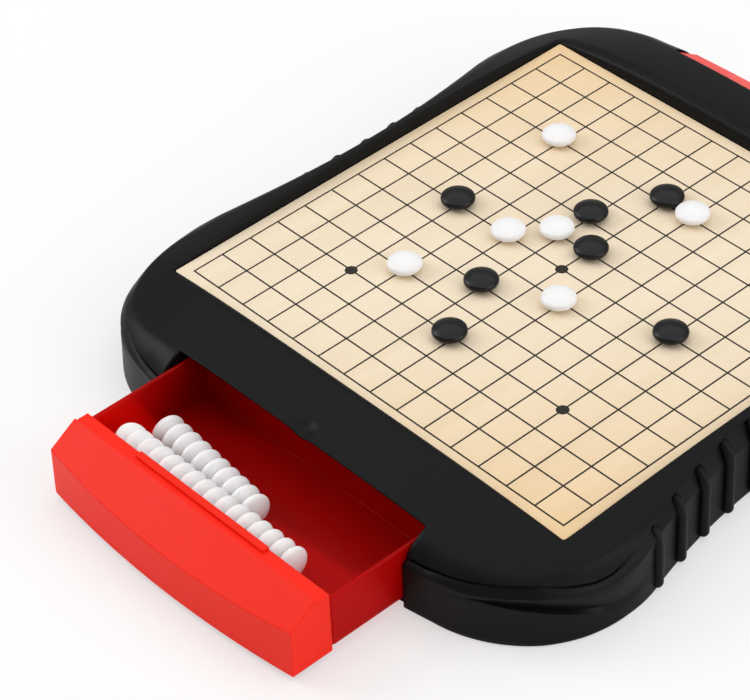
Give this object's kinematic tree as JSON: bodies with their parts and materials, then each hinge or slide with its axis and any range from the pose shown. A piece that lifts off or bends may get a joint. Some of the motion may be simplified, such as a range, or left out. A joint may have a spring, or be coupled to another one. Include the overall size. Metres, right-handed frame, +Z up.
{
  "type": "go board with stone drawers",
  "caption": "Waisted black game case with a recessed ruled playing sheet, lens-shaped magnetic stones, and red stone drawers in front and back.",
  "frame": {"origin": "centre of the case's flat underside, on the table, midway between the two drawers", "axes": "+Y from the open front drawer towards the back drawer, +Z up, +X to the right"},
  "size_m": [0.246, 0.3488, 0.0375],
  "materials": {
    "black_case": "satin moulded black plastic",
    "red_drawer": "satin moulded red plastic",
    "printed_sheet": "semi-matt sheet printed with pale wood and black lines",
    "plate_steel": "plain sheet steel",
    "screw_steel": "zinc-plated steel",
    "white_stone": "satin white plastic",
    "black_stone": "satin black plastic"
  },
  "bodies": {
    "case": {"top_shell": "black_case", "bottom_cover": "black_case", "case_screws": "screw_steel", "steel_plate": "plate_steel", "playing_sheet": "printed_sheet"},
    "front_drawer": {"front_tray": "red_drawer", "front_panel": "red_drawer", "white_far_row": "white_stone", "white_near_row": "white_stone"},
    "back_drawer": {"back_tray": "red_drawer", "back_panel": "red_drawer", "black_far_row": "black_stone", "black_near_row": "black_stone"},
    "white_stone_1": {"white_stone_1": "white_stone"},
    "white_stone_2": {"white_stone_2": "white_stone"},
    "white_stone_3": {"white_stone_3": "white_stone"},
    "white_stone_4": {"white_stone_4": "white_stone"},
    "white_stone_5": {"white_stone_5": "white_stone"},
    "white_stone_6": {"white_stone_6": "white_stone"},
    "black_stone_1": {"black_stone_1": "black_stone"},
    "black_stone_2": {"black_stone_2": "black_stone"},
    "black_stone_3": {"black_stone_3": "black_stone"},
    "black_stone_4": {"black_stone_4": "black_stone"},
    "black_stone_5": {"black_stone_5": "black_stone"},
    "black_stone_6": {"black_stone_6": "black_stone"},
    "black_stone_7": {"black_stone_7": "black_stone"}
  },
  "joints": [
    {"name": "front_drawer_slide", "type": "slide", "parent": "case", "child": "front_drawer", "axis": [0, -1, 0], "range_m": [-0.05, 0.001]},
    {"name": "back_drawer_slide", "type": "slide", "parent": "case", "child": "back_drawer", "axis": [0, 1, 0], "range_m": [0, 0.051]},
    {"name": "white_stone_1_lift", "type": "slide", "parent": "case", "child": "white_stone_1", "axis": [0, 0, 1], "range_m": [0, 0.03]},
    {"name": "white_stone_2_lift", "type": "slide", "parent": "case", "child": "white_stone_2", "axis": [0, 0, 1], "range_m": [0, 0.03]},
    {"name": "white_stone_3_lift", "type": "slide", "parent": "case", "child": "white_stone_3", "axis": [0, 0, 1], "range_m": [0, 0.03]},
    {"name": "white_stone_4_lift", "type": "slide", "parent": "case", "child": "white_stone_4", "axis": [0, 0, 1], "range_m": [0, 0.03]},
    {"name": "white_stone_5_lift", "type": "slide", "parent": "case", "child": "white_stone_5", "axis": [0, 0, 1], "range_m": [0, 0.03]},
    {"name": "white_stone_6_lift", "type": "slide", "parent": "case", "child": "white_stone_6", "axis": [0, 0, 1], "range_m": [0, 0.03]},
    {"name": "black_stone_1_lift", "type": "slide", "parent": "case", "child": "black_stone_1", "axis": [0, 0, 1], "range_m": [0, 0.03]},
    {"name": "black_stone_2_lift", "type": "slide", "parent": "case", "child": "black_stone_2", "axis": [0, 0, 1], "range_m": [0, 0.03]},
    {"name": "black_stone_3_lift", "type": "slide", "parent": "case", "child": "black_stone_3", "axis": [0, 0, 1], "range_m": [0, 0.03]},
    {"name": "black_stone_4_lift", "type": "slide", "parent": "case", "child": "black_stone_4", "axis": [0, 0, 1], "range_m": [0, 0.03]},
    {"name": "black_stone_5_lift", "type": "slide", "parent": "case", "child": "black_stone_5", "axis": [0, 0, 1], "range_m": [0, 0.03]},
    {"name": "black_stone_6_lift", "type": "slide", "parent": "case", "child": "black_stone_6", "axis": [0, 0, 1], "range_m": [0, 0.03]},
    {"name": "black_stone_7_lift", "type": "slide", "parent": "case", "child": "black_stone_7", "axis": [0, 0, 1], "range_m": [0, 0.03]}
  ]
}
